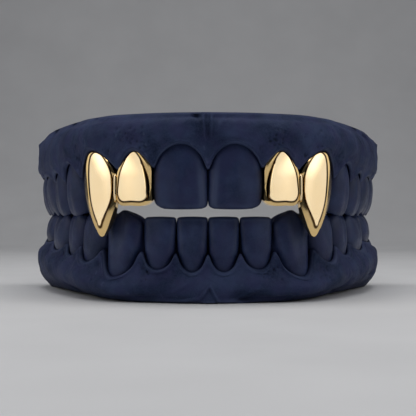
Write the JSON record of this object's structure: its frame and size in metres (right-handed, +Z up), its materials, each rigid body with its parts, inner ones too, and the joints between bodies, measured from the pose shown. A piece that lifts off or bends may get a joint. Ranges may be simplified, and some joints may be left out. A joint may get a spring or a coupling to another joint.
{
  "type": "vampire fang caps on a dental display model",
  "caption": "Polished gold vampire fang caps over the upper lateral incisors and canines of a matte dark blue dental display model with closed horseshoe jaws.",
  "frame": {"origin": "on the flat underside of the lower jaw, below the middle of the whole model", "axes": "+Z up through both jaws, -Y out of the mouth, +X to the right seen from the front"},
  "size_m": [0.0676, 0.048, 0.0305],
  "materials": {
    "cast_gum": "matte cast resin with a fine grain",
    "cast_teeth": "matte cast resin, smoother than the gum",
    "polished_gold": "mirror polished plates with softer bevels"
  },
  "bodies": {
    "root": {"upper_gum": "cast_gum", "lower_gum": "cast_gum", "upper_central_left": "cast_teeth", "upper_central_right": "cast_teeth", "upper_lateral_left": "cast_teeth", "upper_lateral_right": "cast_teeth", "upper_canine_left": "cast_teeth", "upper_canine_right": "cast_teeth", "upper_premolar_1_left": "cast_teeth", "upper_premolar_1_right": "cast_teeth", "upper_premolar_2_left": "cast_teeth", "upper_premolar_2_right": "cast_teeth", "upper_molar_1_left": "cast_teeth", "upper_molar_1_right": "cast_teeth", "upper_molar_2_left": "cast_teeth", "upper_molar_2_right": "cast_teeth", "lower_central_left": "cast_teeth", "lower_central_right": "cast_teeth", "lower_lateral_left": "cast_teeth", "lower_lateral_right": "cast_teeth", "lower_canine_left": "cast_teeth", "lower_canine_right": "cast_teeth", "lower_premolar_1_left": "cast_teeth", "lower_premolar_1_right": "cast_teeth", "lower_premolar_2_left": "cast_teeth", "lower_premolar_2_right": "cast_teeth", "lower_molar_1_left": "cast_teeth", "lower_molar_1_right": "cast_teeth", "lower_molar_2_left": "cast_teeth", "lower_molar_2_right": "cast_teeth", "fang_cap_left": "polished_gold", "fang_cap_right": "polished_gold"}
  },
  "joints": []
}
